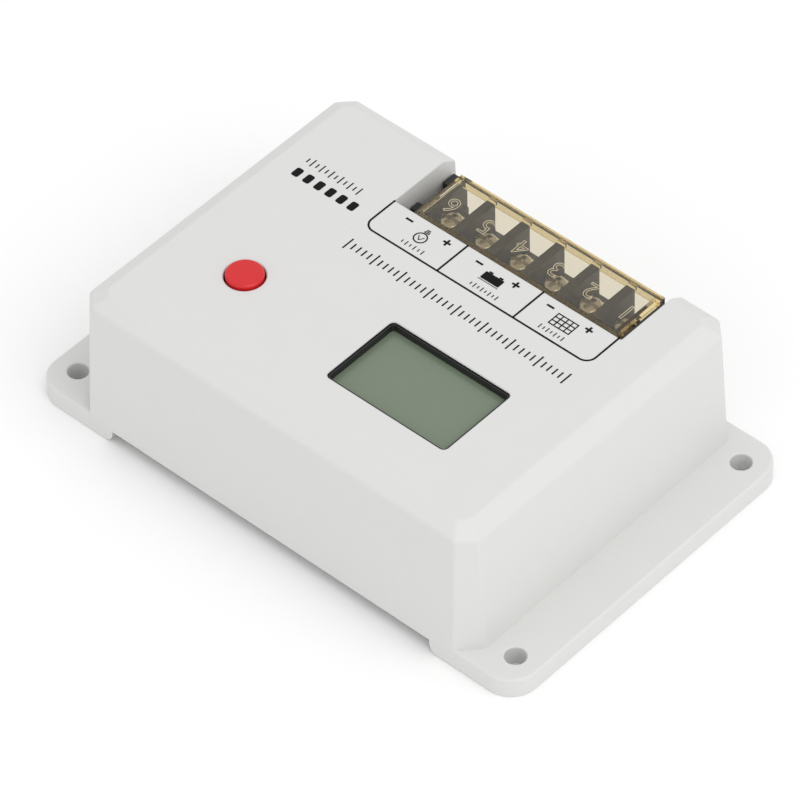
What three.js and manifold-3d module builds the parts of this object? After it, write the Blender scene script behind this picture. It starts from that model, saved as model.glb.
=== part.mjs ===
// Solar charge controller: a white moulded case with two mounting feet, a blank display, one push button
// and a six-way barrier terminal block under a lift-off transparent cover.
// Millimetres, +Z up out of the front panel, +X to the right seen from the terminal side, origin at the
// bottom centre of the case, on the surface that the feet stand on.
import * as THREE from "three";
import { ConvexGeometry } from "three/addons/geometries/ConvexGeometry.js";
import { mergeVertices } from "three/addons/utils/BufferGeometryUtils.js";
import Module from "manifold-3d";

const wasm = await Module();
wasm.setup();

// ---- Driving dimensions ----
const CASE = {
  height: 37.3,
  shoulderZ: 35.1, // where the walls end and the top chamfer starts
  skirtZ: 3.3, // lower edge of the long walls, between the feet
  baseHalf: [55.1, 42.5], // half length and half width at the skirt
  shoulderHalf: [53.1, 40.6],
  topHalf: [49.3, 37.3],
  cornerLeg: [4.7, 3.4, 1.9], // corner chamfer at skirt, shoulder and top
  wall: 2.4,
  topWall: 2.4,
};
const FOOT = {
  outerX: 66.75,
  innerX: 44,
  thick: 5,
  cornerR: 6.5,
  innerR: 3,
  holeX: 60.7,
  holeY: 35.2,
  holeR: 2.3,
};
const NOTCH = { x0: -39.6, x1: 22.0, backY: -21.8, sillZ: 17.5, wall: 1.8 };
const PITCH = 9.5; // standard pitch of the barrier terminals
const WAYS = 6;
const BLOCK = {
  x: -10.8, // middle of the six ways
  halfLength: 28.2,
  frontY: -38.3,
  backY: -22.3,
  barrierFrontY: -36.2,
  barrierBackY: -24.2,
  barrier: 2.2,
  bottomZ: 16.2,
  frontFloorZ: 24,
  floorZ: 27.3,
  stepY: -33.6, // where the high floor under the contact plates ends
  endInner: 26.9, // inner face of the end walls, from the middle
  endZ: 30.9,
  rightWallZ: 33.9,
  leftWall: 0.9, // thin wall beside the cover's left end
  leftWallZ: 35.5,
  topZ: 34.2,
  screwY: -28.9,
};
const LUG = {
  x0: 17.9,
  x1: 21.6,
  topZ: 32.2,
  frontY: [-39.6, -36.2],
  backY: [-28.4, -26.0],
  webZ: 26,
  bottomZ: 20,
};
const COVER = {
  x0: -37.8,
  x1: 17.6,
  frontY: -37.6,
  backY: -22.3,
  z0: 33.4,
  z1: 35.9,
  top: 1.2,
  wall: { left: 1.7, right: 0.8, front: 0.8, back: 1.6 },
  rightZ: 34.3, // the right wall is shallower than the others
  frontZ: 32.6, // and the front wall is deeper
  rib: { half: 1.1, thick: 0.35, z0: 33.7 }, // inside the front wall, before each barrier
};
const TERMINAL = {
  plateHalf: 2.9,
  plateY: [-33.5, -24.2],
  plateZ: [27.6, 28.6],
  collarR: 2.7,
  collarZ: 26.0,
  boreR: 1.9,
  tailHalf: 1.5,
  tailY: [-25.3, -24.3],
  tailZ: 13.4,
  washerHalf: [2.9, 3.1],
  washerZ: [28.9, 29.7],
  wellR: 3.1,
  wellZ: 25.4,
  boreZ: 21.5,
  slotHalf: 1.8,
  slotY: [-25.6, -24.0],
};
const WINDOW = { x: -17.05, y: 14.66, length: 32.2, width: 20.6, r: 1.2 };
const LCD = {
  recess: [19.8, 14.0], // half length and half width, as for the next four
  tray: [19.5, 13.7],
  seat: [18.8, 13.0],
  panel: [18.5, 12.7],
  guide: [18.2, 12.4],
  holder: [18.6, 12.6],
  rim: 0.7, // thickness of the front over the tray
  collar: { length: 31.8, width: 20.2, r: 1.0, topZ: 36.7 },
  sight: { length: 31.2, width: 19.6, r: 0.7 },
  trayZ: [31.0, 36.4],
  seatZ: 35.1,
  panelZ: [33.9, 34.95],
  guideZ: [30.9, 33.7],
  holderZ: [16.1, 30.6],
};
const BUTTON = {
  x: 30.6,
  y: 14.66,
  holeR: 4.45,
  capR: 4.1,
  topZ: 38.1,
  flangeR: 5.5,
  flangeZ: [32.6, 34.2],
  stemR: 2.2,
  stemZ: 24.0,
  sleeveR: [5.9, 7.2],
  sleeveZ: 28,
};
const BOARD = { x: 50, y0: -38.2, y1: 36, z0: 14.3, z1: 15.9 };
const PLATE = { x: 43.6, y: 39.4, z0: 3.4, z1: 4.9 };
const BOSS = { x: 38, y: 36.3, r: 3.2, topZ: 12.5 };
const POST = { x: 46, y: [30, -33], r: 3, bottomZ: 16.2 };
const PILOT = { r: 1.25, depth: 8 }; // blind holes for the self-tapping screws
const SCREW = {
  tipZ: 22.6,
  shankR: 1.5,
  seatZ: 30.0,
  headR: 2.85,
  edgeZ: 31.1,
  crownR: 2.3,
  crownZ: 31.9,
  topZ: 32.1,
  slotHalf: [2.1, 0.4],
  crossHalf: [0.4, 1.6],
  slotZ: 30.8,
};
const BACK_SCREW = { headZ: 1.4, headR: 3.2, headThick: 1.8, shankR: 1.1, length: 7.5 };
const BOARD_SCREW = { headZ: 12.4, headR: 2.6, headThick: 1.7, shankR: 1.0, length: 7 };
const SWITCH = {
  half: [6, 6],
  z: [16.1, 19.6],
  boreR: 2.0,
  boreZ: 17.2,
  plungerR: 1.7,
  plungerZ: [18.4, 23.8],
};
const PINS = {
  count: 12,
  pitch: 2,
  half: 0.25,
  barHalf: 12.5,
  barWidth: 2,
  barZ: [16.1, 18.6],
  topZ: 33.2,
  fromY: 14.6,
};
const PARTS_Z = BOARD.z1 + 0.3; // underside of the parts that stand on the circuit board
const SPREADER = { x: [-45, 25], y: [-10, 6], z: [5.2, 9.0] };
const MOSFET = {
  x: [-38, -22, 2, 18],
  y: -1,
  half: 5,
  length: 9.4,
  thick: 4.2,
  tab: 1.3,
  legPitch: 2.54,
  legHalf: 0.4,
};
const ROUND = 24; // sides of a round part
const SMALL_ROUND = 12;

// ---- Shapes ----
function box(x0, x1, y0, y1, z0, z1) {
  const shape = new THREE.BoxGeometry(x1 - x0, y1 - y0, z1 - z0);
  return shape.translate((x0 + x1) / 2, (y0 + y1) / 2, (z0 + z1) / 2);
}

// A cylinder standing on z0.
function rod(r, z0, z1, x = 0, y = 0, sides = ROUND) {
  const shape = new THREE.CylinderGeometry(r, r, z1 - z0, sides);
  return shape.rotateX(Math.PI / 2).translate(x, y, (z0 + z1) / 2);
}

// A turned piece from (radius, height) points that start and end on the axis.
function turned(points, x = 0, y = 0, sides = ROUND) {
  const profile = points.map(([r, z]) => new THREE.Vector2(r, z));
  return new THREE.LatheGeometry(profile, sides).rotateX(Math.PI / 2).translate(x, y, 0);
}

// A rectangle with rounded corners, as a flat outline.
function roundedRect(length, width, r) {
  const a = length / 2;
  const b = width / 2;
  const outline = new THREE.Shape();
  outline.moveTo(-a + r, -b);
  outline.lineTo(a - r, -b);
  outline.absarc(a - r, -b + r, r, -Math.PI / 2, 0);
  outline.lineTo(a, b - r);
  outline.absarc(a - r, b - r, r, 0, Math.PI / 2);
  outline.lineTo(-a + r, b);
  outline.absarc(-a + r, b - r, r, Math.PI / 2, Math.PI);
  outline.lineTo(-a, -b + r);
  outline.absarc(-a + r, -b + r, r, Math.PI, Math.PI * 1.5);
  return outline;
}

function prism(outline, z0, z1, x = 0, y = 0, curveSegments = 6) {
  const shape = new THREE.ExtrudeGeometry(outline, { depth: z1 - z0, bevelEnabled: false, curveSegments });
  return shape.translate(x, y, z0);
}

// A convex body through eight-sided rings; each ring is [half length, half width, corner leg, z].
function facetedBody(rings) {
  const points = [];
  for (const [a, b, leg, z] of rings) {
    for (const sx of [-1, 1]) {
      for (const sy of [-1, 1]) {
        points.push(new THREE.Vector3(sx * (a - leg), sy * b, z));
        points.push(new THREE.Vector3(sx * a, sy * (b - leg), z));
      }
    }
  }
  return new ConvexGeometry(points);
}

// ---- Cutting and joining ----
function solid(geometry) {
  const bare = geometry.index ? geometry.toNonIndexed() : geometry.clone();
  bare.deleteAttribute("normal");
  bare.deleteAttribute("uv");
  const merged = mergeVertices(bare, 1e-4);
  const mesh = new wasm.Mesh({
    numProp: 3,
    vertProperties: new Float32Array(merged.attributes.position.array),
    triVerts: new Uint32Array(merged.index.array),
  });
  return new wasm.Manifold(mesh);
}

function join(...pieces) {
  return pieces.reduce((all, piece) => all.add(piece));
}

function cut(body, ...tools) {
  return tools.reduce((left, tool) => left.subtract(tool), body);
}

function geometryOf(manifold) {
  const mesh = manifold.getMesh();
  const geometry = new THREE.BufferGeometry();
  geometry.setAttribute("position", new THREE.BufferAttribute(new Float32Array(mesh.vertProperties), 3));
  geometry.setIndex(new THREE.BufferAttribute(new Uint32Array(mesh.triVerts), 1));
  return geometry;
}

const block = (...corners) => solid(box(...corners));
const bar = (...sizes) => solid(rod(...sizes));
// A block centred on a place, from its half length, half width and two heights.
const pad = ({ x, y }, [halfX, halfY], heights) => (
  block(x - halfX, x + halfX, y - halfY, y + halfY, ...heights)
);

// ---- Materials and nodes ----
const MATERIALS = {
  whiteAbs: { color: 0xe6e6e4, roughness: 0.5, metalness: 0 },
  blackPlastic: { color: 0x1c1c1e, roughness: 0.5, metalness: 0 },
  amberPlastic: { color: 0xd9b25a, roughness: 0.1, metalness: 0, transparent: true, opacity: 0.5 },
  redPlastic: { color: 0xdb3a42, roughness: 0.4, metalness: 0 },
  displayGlass: { color: 0x828f7c, roughness: 0.15, metalness: 0 },
  lightGuide: { color: 0xdfe8d8, roughness: 0.4, metalness: 0 },
  platedSteel: { color: 0xc9c6bd, roughness: 0.3, metalness: 1 },
  tinnedBrass: { color: 0xcdbf8f, roughness: 0.35, metalness: 1 },
  aluminium: { color: 0xb9bcbf, roughness: 0.4, metalness: 1 },
  laminate: { color: 0x1f5a35, roughness: 0.5, metalness: 0 },
  component: { color: 0x222224, roughness: 0.55, metalness: 0 },
  canSleeve: { color: 0x27303f, roughness: 0.35, metalness: 0 },
  copper: { color: 0xb06a3a, roughness: 0.4, metalness: 1 },
};

const controller = new THREE.Group();
controller.name = "charge_controller";

function node(name, shape, material) {
  const geometry = shape.getMesh ? geometryOf(shape) : shape;
  const mesh = new THREE.Mesh(geometry, new THREE.MeshStandardMaterial(MATERIALS[material]));
  mesh.name = name;
  controller.add(mesh);
  return mesh;
}

const corners = (x, y) => [[-x, -y], [x, -y], [x, y], [-x, y]];
const wayX = (way) => BLOCK.x + (way - (WAYS + 1) / 2) * PITCH;
const barrierX = (barrier) => BLOCK.x + (barrier - WAYS / 2) * PITCH;

// ---- Housing ----
function foot(side) {
  const length = FOOT.outerX - FOOT.innerX;
  const width = 2 * CASE.baseHalf[1];
  const middle = (FOOT.outerX + FOOT.innerX) / 2;
  const rounded = solid(prism(roundedRect(length, width, FOOT.cornerR), 0, FOOT.thick, middle, 0));
  const inner = block(FOOT.innerX, middle, -width / 2, width / 2, 0, FOOT.thick);
  // The lower edge of the inner end is rounded over.
  const corner = block(FOOT.innerX - 1, FOOT.innerX + FOOT.innerR, -width, width, -1, FOOT.innerR);
  const round = new THREE.CylinderGeometry(FOOT.innerR, FOOT.innerR, 3 * width, ROUND);
  const edge = cut(corner, solid(round.translate(FOOT.innerX + FOOT.innerR, 0, FOOT.innerR)));
  const slab = cut(join(rounded, inner), edge);
  return side > 0 ? slab : slab.mirror([1, 0, 0]);
}

function housing() {
  const [leg0, leg1, leg2] = CASE.cornerLeg;
  const outer = solid(facetedBody([
    [...CASE.baseHalf, leg0, CASE.skirtZ],
    [...CASE.shoulderHalf, leg1, CASE.shoulderZ],
    [...CASE.topHalf, leg2, CASE.height],
  ]));
  const inside = (half) => half.map((value) => value - CASE.wall);
  const ceiling = CASE.height - CASE.topWall;
  const cavity = solid(facetedBody([
    [...inside(CASE.baseHalf), leg0 - 1, FOOT.thick],
    [...inside(CASE.shoulderHalf), leg1 - 1, CASE.shoulderZ - 1.4],
    [...inside(CASE.topHalf), leg2, ceiling],
  ]));
  const skirtHalf = CASE.baseHalf[1] - CASE.wall;
  const opening = block(-FOOT.innerX, FOOT.innerX, -skirtHalf, skirtHalf, CASE.skirtZ - 1, FOOT.thick + 0.1);

  // The notch for the terminal block is a pocket with thin walls, open at its front and below.
  const notchWalls = block(
    NOTCH.x0 - NOTCH.wall, NOTCH.x1 + NOTCH.wall,
    -CASE.baseHalf[1], NOTCH.backY + NOTCH.wall,
    NOTCH.sillZ, CASE.height,
  );
  const notch = block(NOTCH.x0, NOTCH.x1, -CASE.baseHalf[1] - 1, NOTCH.backY, NOTCH.sillZ, CASE.height + 1);

  const windowOutline = roundedRect(WINDOW.length, WINDOW.width, WINDOW.r);
  const window = solid(prism(windowOutline, ceiling - 1, CASE.height + 1, WINDOW.x, WINDOW.y));
  const recess = pad(WINDOW, LCD.recess, [ceiling - 1, CASE.height - LCD.rim]);
  const buttonHole = bar(BUTTON.holeR, ceiling - 1, CASE.height + 1, BUTTON.x, BUTTON.y);
  const sleeve = cut(
    bar(BUTTON.sleeveR[1], BUTTON.sleeveZ, ceiling + 0.5, BUTTON.x, BUTTON.y),
    bar(BUTTON.sleeveR[0], BUTTON.sleeveZ - 1, ceiling, BUTTON.x, BUTTON.y),
  );

  const posts = POST.y.flatMap((y) => [-POST.x, POST.x].map((x) => cut(
    bar(POST.r, POST.bottomZ, ceiling + 0.5, x, y, SMALL_ROUND),
    bar(PILOT.r, POST.bottomZ - 1, POST.bottomZ + PILOT.depth, x, y, SMALL_ROUND),
  )));
  const bosses = corners(BOSS.x, BOSS.y).map(([x, y]) => {
    const side = Math.sign(y);
    const ends = [side * BOSS.y, side * (skirtHalf + 0.8)].sort((a, b) => a - b);
    const web = block(x - BOSS.r, x + BOSS.r, ...ends, FOOT.thick + 0.3, BOSS.topZ);
    return cut(
      join(bar(BOSS.r, FOOT.thick + 0.3, BOSS.topZ, x, y, SMALL_ROUND), web),
      bar(PILOT.r, FOOT.thick, BOSS.topZ - 1, x, y, SMALL_ROUND),
    );
  });
  const { holeX, holeY, holeR, thick } = FOOT;
  const footHoles = corners(holeX, holeY).map(([x, y]) => bar(holeR, -1, thick + 1, x, y));

  const shell = cut(join(outer, foot(-1), foot(1)), cavity.subtract(notchWalls), opening);
  const furnished = join(shell, sleeve, ...posts, ...bosses);
  return cut(furnished, notch, window, recess, buttonHole, ...footHoles);
}

// ---- Terminal block ----
function terminalBase() {
  const left = BLOCK.x - BLOCK.halfLength;
  const right = BLOCK.x + BLOCK.halfLength;
  const body = block(left, right, BLOCK.frontY, BLOCK.backY, BLOCK.bottomZ, BLOCK.frontFloorZ);
  const bench = block(left, right, BLOCK.stepY, BLOCK.backY, BLOCK.bottomZ, BLOCK.floorZ);
  const backWall = block(left, right, BLOCK.backY - 1.6, BLOCK.backY, BLOCK.bottomZ, BLOCK.endZ);
  const barriers = [];
  for (let wall = 1; wall < WAYS; wall += 1) {
    const x = barrierX(wall);
    const half = BLOCK.barrier / 2;
    const along = [BLOCK.barrierFrontY, BLOCK.barrierBackY];
    barriers.push(block(x - half, x + half, ...along, BLOCK.bottomZ, BLOCK.topZ));
  }
  const endWall = (x0, x1, backY, topZ) => block(x0, x1, BLOCK.barrierFrontY, backY, BLOCK.bottomZ, topZ);
  const ends = [
    endWall(left, BLOCK.x - BLOCK.endInner, BLOCK.backY, BLOCK.endZ),
    endWall(left, left + BLOCK.leftWall, BLOCK.backY, BLOCK.leftWallZ),
    endWall(BLOCK.x + BLOCK.endInner, right, BLOCK.backY, BLOCK.endZ),
    endWall(BLOCK.x + BLOCK.endInner, right, BLOCK.barrierBackY, BLOCK.rightWallZ),
  ];
  const lugs = [LUG.frontY, LUG.backY].map(([y0, y1]) => (
    block(LUG.x0, LUG.x1, y0, y1, LUG.bottomZ, LUG.topZ)
  ));
  const lugWeb = block(right - 1, LUG.x1, BLOCK.frontY, BLOCK.backY, BLOCK.bottomZ, LUG.webZ);

  const wells = [];
  for (let way = 1; way <= WAYS; way += 1) {
    const x = wayX(way);
    const { wellR, wellZ, boreR, boreZ, slotHalf, slotY } = TERMINAL;
    wells.push(bar(wellR, wellZ, BLOCK.floorZ + 1, x, BLOCK.screwY, SMALL_ROUND));
    wells.push(bar(boreR, boreZ, BLOCK.floorZ, x, BLOCK.screwY, SMALL_ROUND));
    wells.push(block(x - slotHalf, x + slotHalf, ...slotY, BLOCK.bottomZ - 1, BLOCK.floorZ + 1));
  }
  return cut(join(body, bench, backWall, ...barriers, ...ends, ...lugs, lugWeb), ...wells);
}

function terminalCover() {
  const { x0, x1, frontY, backY, z0, z1, top, wall, rightZ, frontZ, rib } = COVER;
  const shell = block(x0, x1, frontY, backY, z0, z1);
  const insideY = [frontY + wall.front, backY - wall.back];
  const inside = block(x0 + wall.left, x1 - wall.right, ...insideY, z0 - 1, z1 - top);
  const underRight = block(x1 - wall.right - 0.5, x1 + 1, ...insideY, z0 - 1, rightZ);
  const front = block(x0, x1, frontY, frontY + wall.front, frontZ, z0 + 0.2);
  const ribs = [];
  for (let barrier = 1; barrier < WAYS; barrier += 1) {
    const x = barrierX(barrier);
    const innerY = frontY + wall.front;
    ribs.push(block(x - rib.half, x + rib.half, innerY - 0.2, innerY + rib.thick, rib.z0, z1 - top + 0.2));
  }
  return join(cut(shell, inside, underRight), front, ...ribs);
}

function contactPlate(x) {
  const { plateHalf, plateY, plateZ, collarR, collarZ, boreR, tailHalf, tailY, tailZ } = TERMINAL;
  const middleZ = (plateZ[0] + plateZ[1]) / 2;
  const plate = block(x - plateHalf, x + plateHalf, ...plateY, ...plateZ);
  const collar = bar(collarR, collarZ, middleZ, x, BLOCK.screwY, SMALL_ROUND);
  const tail = block(x - tailHalf, x + tailHalf, ...tailY, tailZ, middleZ);
  return cut(join(plate, collar, tail), bar(boreR, collarZ - 1, plateZ[1] + 1, x, BLOCK.screwY, SMALL_ROUND));
}

function clampWasher(x) {
  const [halfX, halfY] = TERMINAL.washerHalf;
  const [z0, z1] = TERMINAL.washerZ;
  const plate = block(x - halfX, x + halfX, BLOCK.screwY - halfY, BLOCK.screwY + halfY, z0, z1);
  return cut(plate, bar(TERMINAL.boreR, z0 - 1, z1 + 1, x, BLOCK.screwY, SMALL_ROUND));
}

function terminalScrew(x) {
  const { tipZ, shankR, seatZ, headR, edgeZ, crownR, crownZ, topZ, slotHalf, crossHalf, slotZ } = SCREW;
  const profile = [
    [0, tipZ], [shankR - 0.3, tipZ], [shankR, tipZ + 0.3], [shankR, seatZ],
    [headR, seatZ], [headR, edgeZ], [crownR, crownZ], [0, topZ],
  ];
  const screw = solid(turned(profile, x, BLOCK.screwY, 16));
  const axis = { x, y: BLOCK.screwY };
  return cut(screw, pad(axis, slotHalf, [slotZ, topZ + 1]), pad(axis, crossHalf, [slotZ, topZ + 1]));
}

// ---- Display and button ----
function lcdFrame() {
  const { x, y } = WINDOW;
  const outline = ({ length, width, r }) => roundedRect(length, width, r);
  const [bottomZ, trayTopZ] = LCD.trayZ;
  const collar = solid(prism(outline(LCD.collar), trayTopZ - 0.2, LCD.collar.topZ, x, y));
  const tray = pad(WINDOW, LCD.tray, LCD.trayZ);
  const sight = solid(prism(outline(LCD.sight), bottomZ - 1, LCD.collar.topZ + 1, x, y));
  return cut(join(collar, tray), sight, pad(WINDOW, LCD.seat, [bottomZ - 1, LCD.seatZ]));
}

function lcdHolder() {
  const [bottomZ, topZ] = LCD.holderZ;
  const frame = pad(WINDOW, LCD.holder, LCD.holderZ);
  const hollow = pad(WINDOW, LCD.holder.map((half) => half - 1.6), [bottomZ - 1, topZ - 1.2]);
  const lighten = pad(WINDOW, LCD.holder.map((half) => half - 4.6), [topZ - 2, topZ + 1]);
  return cut(frame, hollow, lighten);
}

// One comb of pins in a plastic bar, from the panel's edge down to the circuit board.
function lcdPins() {
  const { count, pitch, half, barHalf, barWidth, barZ, topZ, fromY } = PINS;
  const { x } = WINDOW;
  const side = WINDOW.y + fromY;
  const middle = side + barWidth / 2;
  const strip = block(x - barHalf, x + barHalf, side, side + barWidth, ...barZ);
  const pins = [];
  for (let pin = 0; pin < count; pin += 1) {
    const at = x + (pin - (count - 1) / 2) * pitch;
    pins.push(block(at - half, at + half, middle - 0.3, middle + 0.3, barZ[1] - 0.6, topZ));
  }
  return join(strip, ...pins);
}

function buttonCap() {
  const { x, y, capR, topZ, flangeR, stemR, stemZ } = BUTTON;
  const [lowZ, highZ] = BUTTON.flangeZ;
  return turned([
    [0, stemZ], [stemR, stemZ], [stemR, lowZ], [flangeR, lowZ], [flangeR, highZ],
    [capR, highZ], [capR, topZ - 0.5], [capR - 0.15, topZ - 0.15], [capR - 0.5, topZ], [0, topZ],
  ], x, y);
}

// ---- Inside ----
function circuitBoard() {
  const board = block(-BOARD.x, BOARD.x, BOARD.y0, BOARD.y1, BOARD.z0, BOARD.z1);
  const holes = POST.y.flatMap((y) => [-POST.x, POST.x].map((x) => (
    bar(1.4, BOARD.z0 - 1, BOARD.z1 + 1, x, y, SMALL_ROUND)
  )));
  const slots = [];
  for (let way = 1; way <= WAYS; way += 1) {
    const x = wayX(way);
    const across = [x - TERMINAL.slotHalf, x + TERMINAL.slotHalf];
    slots.push(block(...across, ...TERMINAL.slotY, BOARD.z0 - 1, BOARD.z1 + 1));
  }
  return cut(board, ...holes, ...slots);
}

function backPlate() {
  const plate = block(-PLATE.x, PLATE.x, -PLATE.y, PLATE.y, PLATE.z0, PLATE.z1);
  return cut(plate, ...corners(BOSS.x, BOSS.y).map(([x, y]) => bar(1.8, 2, 6, x, y, SMALL_ROUND)));
}

// A pan-head screw; the head is on the low side and the shank points up.
function panScrew(x, y, { headZ, headR, headThick, shankR, length }) {
  const seat = headZ + headThick;
  const screw = solid(turned(
    [[0, headZ], [headR * 0.75, headZ], [headR, headZ + 0.5], [headR, seat], [shankR, seat],
      [shankR, seat + length - 0.6], [shankR * 0.5, seat + length], [0, seat + length]],
    x, y, SMALL_ROUND,
  ));
  const depth = headThick * 0.55;
  const slot = block(x - headR * 0.6, x + headR * 0.6, y - 0.25, y + 0.25, headZ - 1, headZ + depth);
  const cross = block(x - 0.25, x + 0.25, y - headR * 0.6, y + headR * 0.6, headZ - 1, headZ + depth);
  return cut(screw, slot, cross);
}

function mosfet(x) {
  const { y, half, length, thick, tab, legPitch, legHalf } = MOSFET;
  const z = SPREADER.z[1] + 0.3;
  const bodyEnd = y - length;
  const legEnd = bodyEnd - 3.2;
  const hole = bar(1.8, z - 1, z + 3, x, y + 3, SMALL_ROUND);
  const metalTab = cut(block(x - half, x + half, y - 1, y + 6, z, z + tab), hole);
  const body = block(x - half, x + half, bodyEnd, y, z, z + thick);
  const legs = [-legPitch, 0, legPitch].map((at) => join(
    block(x + at - legHalf, x + at + legHalf, legEnd, bodyEnd + 0.4, z + 2, z + 2.6),
    block(x + at - legHalf, x + at + legHalf, legEnd, legEnd + 0.6, z + 2, BOARD.z0 - 0.2),
  ));
  return join(metalTab, body, ...legs);
}

// A flat square package with five leads on each side.
function microcontroller(x, y) {
  const half = 5;
  const reach = 6.2;
  const leadHalf = 0.2;
  const leadZ = [PARTS_Z, PARTS_Z + 0.5];
  const leads = [];
  for (let lead = -2; lead <= 2; lead += 1) {
    const at = lead * 1.6;
    leads.push(block(x + at - leadHalf, x + at + leadHalf, y - reach, y + reach, ...leadZ));
    leads.push(block(x - reach, x + reach, y + at - leadHalf, y + at + leadHalf, ...leadZ));
  }
  return join(pad({ x, y }, [half, half], [PARTS_Z + 0.2, PARTS_Z + 1.6]), ...leads);
}

// A can with a crimped groove near its foot.
function capacitor(x, y) {
  const r = 6.2;
  const topZ = 32.2;
  const grooveZ = PARTS_Z + 2;
  return turned([
    [0, PARTS_Z], [r - 0.2, PARTS_Z], [r, PARTS_Z + 0.4],
    [r, grooveZ - 0.4], [r - 0.4, grooveZ], [r, grooveZ + 0.4],
    [r, topZ - 0.4], [r - 0.4, topZ], [0, topZ],
  ], x, y, 16);
}

function choke(x, y) {
  const tube = 2.8;
  const ring = new THREE.TorusGeometry(2 * tube, tube, 8, 16);
  return ring.translate(x, y, PARTS_Z + 0.2 + tube);
}

// A flat bridge on two legs.
function shuntResistor(x, y) {
  const span = 6;
  const half = 0.7;
  const topZ = 20.4;
  const leg = (at) => pad({ x: at, y }, [half, half], [PARTS_Z - 0.1, topZ - 0.4]);
  return join(leg(x - span), leg(x + span), pad({ x, y }, [span + half, half], [topZ - 1.4, topZ]));
}

function buzzer(x, y) {
  const r = 6;
  const topZ = 22.8;
  const can = [[0, PARTS_Z], [r, PARTS_Z], [r, topZ - 0.6], [r - 0.6, topZ], [0, topZ]];
  return cut(solid(turned(can, x, y, 16)), bar(1, topZ - 2.8, topZ + 1, x, y, 8));
}

// ---- Assembly ----
node("housing", housing(), "whiteAbs");
node("terminal_base", terminalBase(), "blackPlastic");
node("terminal_cover", terminalCover(), "amberPlastic");
for (let way = 1; way <= WAYS; way += 1) {
  node(`contact_plate_${way}`, contactPlate(wayX(way)), "tinnedBrass");
  node(`clamp_washer_${way}`, clampWasher(wayX(way)), "platedSteel");
  node(`terminal_screw_${way}`, terminalScrew(wayX(way)), "platedSteel");
}

node("lcd_frame", lcdFrame(), "blackPlastic");
node("lcd_panel", pad(WINDOW, LCD.panel, LCD.panelZ), "displayGlass");
node("lcd_backlight", pad(WINDOW, LCD.guide, LCD.guideZ), "lightGuide");
node("lcd_holder", lcdHolder(), "blackPlastic");
node("lcd_pins", lcdPins(), "blackPlastic");

node("button_cap", buttonCap(), "redPlastic");
const plunger = rod(SWITCH.plungerR, ...SWITCH.plungerZ, BUTTON.x, BUTTON.y, SMALL_ROUND);
node("switch_plunger", plunger, "blackPlastic");
const switchBody = cut(
  pad(BUTTON, SWITCH.half, SWITCH.z),
  bar(SWITCH.boreR, SWITCH.boreZ, SWITCH.z[1] + 1, BUTTON.x, BUTTON.y, SMALL_ROUND),
);
node("switch_body", switchBody, "component");

node("circuit_board", circuitBoard(), "laminate");
node("back_plate", backPlate(), "aluminium");
corners(BOSS.x, BOSS.y).forEach(([x, y], index) => {
  node(`back_screw_${index + 1}`, panScrew(x, y, BACK_SCREW), "platedSteel");
});
POST.y.flatMap((y) => [-POST.x, POST.x].map((x) => [x, y])).forEach(([x, y], index) => {
  node(`board_screw_${index + 1}`, panScrew(x, y, BOARD_SCREW), "platedSteel");
});

node("heat_spreader", box(...SPREADER.x, ...SPREADER.y, ...SPREADER.z), "aluminium");
MOSFET.x.forEach((x, index) => node(`mosfet_${index + 1}`, mosfet(x), "component"));
node("microcontroller", microcontroller(14, 2), "component");
node("capacitor_1", capacitor(33, -29), "canSleeve");
node("capacitor_2", capacitor(33, -14), "canSleeve");
node("choke", choke(14, 26), "copper");
node("shunt_resistor", shuntResistor(11, -13), "copper");
node("buzzer", buzzer(-44, 8), "component");

export default controller;
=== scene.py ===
"""A solar charge controller on a plain pale floor: white moulded case, blank display, push button, printed
marks and a six-way barrier terminal block under an amber cover. Lengths below are in millimetres."""

import math

import bmesh
import bpy
from mathutils import Matrix, Vector


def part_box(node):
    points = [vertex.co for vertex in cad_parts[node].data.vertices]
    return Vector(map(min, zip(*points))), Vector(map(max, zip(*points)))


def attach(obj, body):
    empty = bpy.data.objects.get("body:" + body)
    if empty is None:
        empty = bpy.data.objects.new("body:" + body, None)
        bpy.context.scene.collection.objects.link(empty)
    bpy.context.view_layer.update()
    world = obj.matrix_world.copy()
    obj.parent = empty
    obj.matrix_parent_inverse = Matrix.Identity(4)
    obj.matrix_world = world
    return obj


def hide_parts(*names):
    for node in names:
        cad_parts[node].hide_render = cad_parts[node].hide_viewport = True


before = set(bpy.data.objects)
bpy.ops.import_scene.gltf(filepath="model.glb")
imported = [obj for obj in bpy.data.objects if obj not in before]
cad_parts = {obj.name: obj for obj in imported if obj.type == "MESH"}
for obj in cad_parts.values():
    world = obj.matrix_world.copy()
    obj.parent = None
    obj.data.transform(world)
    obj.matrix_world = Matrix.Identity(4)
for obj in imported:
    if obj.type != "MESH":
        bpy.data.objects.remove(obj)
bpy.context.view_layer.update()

MM = 0.001
WAYS = range(1, 7)
WHITE = (1.0, 1.0, 1.0)

# The case: inset from the skirt's outline and height, at each corner of the wall's section.
CASE_HALF = (55.1, 42.5)
CASE_TOP = 37.3
SKIRT_Z = 3.3
SHOULDER = (2.0, 35.1)
TOP_EDGE = 5.8
WIDTH_SHARE = 0.9  # the long walls lean in a little less than the end walls
CORNER_LEG = ((0.0, 4.7), (2.0, 3.4), (5.8, 1.9))
WALL = 2.4
FOOT = {"inner": 44.0, "outer": 66.75, "half": 42.5, "top": 5.0, "corner": 6.5, "heel": 3.0}
NOTCH = {"x": (-39.6, 22.0), "back": -21.8, "sill": 17.5, "wall": 1.8}
COVER = {"top": 1.2, "left": 1.7, "right": 0.8, "front": 0.8, "back": 1.6, "right_z": 34.3, "side_z": 33.4}
COVER_RIB = {"half": 1.1, "out": 0.35, "low": 33.7}
COVER_GAP = 0.01
COVER_DIGIT_HEIGHT = 4.4
DIGIT_THINNING = -0.02
DIGIT_EDGE = 0.052

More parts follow.
